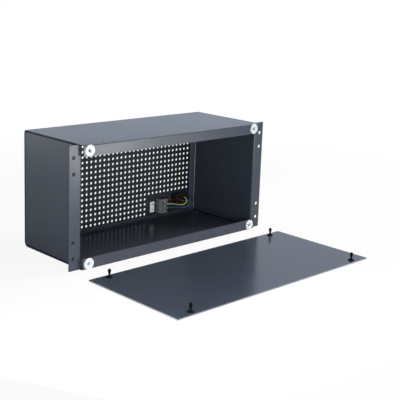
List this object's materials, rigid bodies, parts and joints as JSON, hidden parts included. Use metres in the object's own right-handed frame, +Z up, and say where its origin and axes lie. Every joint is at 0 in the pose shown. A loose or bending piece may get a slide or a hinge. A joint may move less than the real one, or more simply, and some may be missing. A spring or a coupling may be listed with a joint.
{
  "type": "rackmount chassis",
  "caption": "Folded sheet rack chassis with ears, a perforated rear wall, a mains inlet wired to a terminal block, and its flat push-fit front cover lying before it.",
  "frame": {"origin": "middle of the underside of the case", "axes": "+X to the right seen from the front, +Y to the rear, +Z up; the rack ears face -Y"},
  "size_m": [0.4826, 0.4565, 0.222],
  "materials": {
    "painted_sheet": "semi-gloss powder coat",
    "painted_cover": "semi-gloss powder coat",
    "rivet_metal": "satin",
    "white_nylon": "satin",
    "black_nylon": "satin",
    "inlet_plastic": "gloss",
    "plated_steel": "bright zinc plate",
    "sleeve_plastic": "satin",
    "block_plastic": "satin",
    "clamp_brass": "satin",
    "brown_insulation": "satin",
    "green_yellow_insulation": "satin",
    "blue_insulation": "satin"
  },
  "bodies": {
    "root": {"top_sheet": "painted_sheet", "bottom_sheet": "painted_sheet", "left_side": "painted_sheet", "right_side": "painted_sheet", "rear_panel": "painted_sheet", "case_rivets": "rivet_metal", "catch_top_left": "white_nylon", "catch_top_right": "white_nylon", "catch_bottom_left": "white_nylon", "catch_bottom_right": "white_nylon", "upper_tie_mount": "white_nylon", "lower_tie_mount": "white_nylon", "front_cover": "painted_cover", "stud_rear_left": "black_nylon", "stud_rear_right": "black_nylon", "stud_front_left": "black_nylon", "stud_front_right": "black_nylon", "mains_inlet": "inlet_plastic", "inlet_pins": "plated_steel", "inlet_screws": "plated_steel", "inlet_nuts": "plated_steel", "terminal_screws": "plated_steel", "block_fixings": "plated_steel", "push_on_sleeves": "sleeve_plastic", "terminal_block": "block_plastic", "terminal_clamps": "clamp_brass", "live_wire": "brown_insulation", "earth_wire": "green_yellow_insulation", "neutral_wire": "blue_insulation"}
  },
  "joints": []
}
